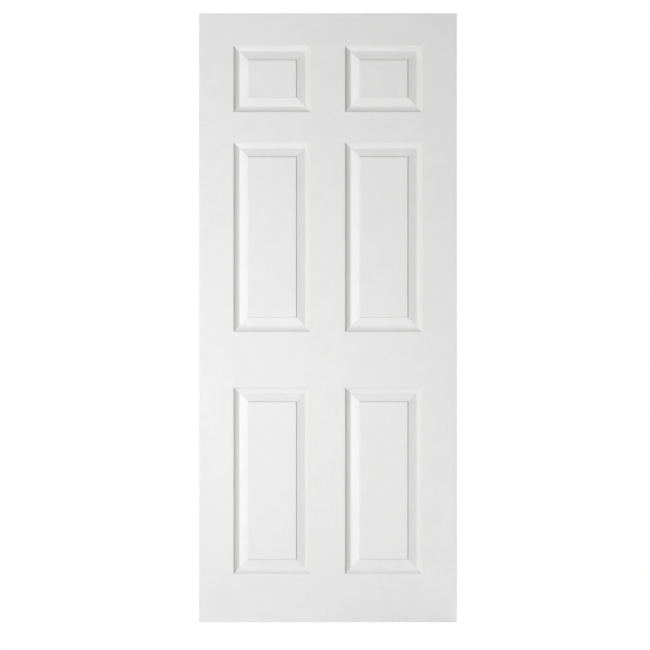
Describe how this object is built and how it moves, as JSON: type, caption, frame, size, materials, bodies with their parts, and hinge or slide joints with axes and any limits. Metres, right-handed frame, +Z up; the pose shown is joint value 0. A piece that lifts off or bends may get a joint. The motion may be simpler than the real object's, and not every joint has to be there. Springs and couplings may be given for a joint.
{
  "type": "moulded interior door leaf",
  "caption": "Hollow-core interior door leaf with moulded raised-panel faces over a timber frame and paper honeycomb, bare and ready to be hung on either hand.",
  "frame": {"origin": "middle of the bottom edge, halfway through the thickness", "axes": "+Z up the leaf, +X across it to the right as seen from the front, front face towards -Y"},
  "size_m": [0.838, 0.035, 1.981],
  "materials": {
    "skin": "white primer, satin, on pressed fibreboard with an embossed grain",
    "timber": "raw planed softwood, finger-jointed",
    "honeycomb": "kraft paper",
    "staple": "galvanised wire"
  },
  "bodies": {
    "root": {"front_skin": "skin", "rear_skin": "skin", "left_stile": "timber", "right_stile": "timber", "top_rail": "timber", "bottom_rail": "timber", "left_lock_block": "timber", "right_lock_block": "timber", "honeycomb_core": "honeycomb", "corner_staples": "staple"}
  },
  "joints": []
}
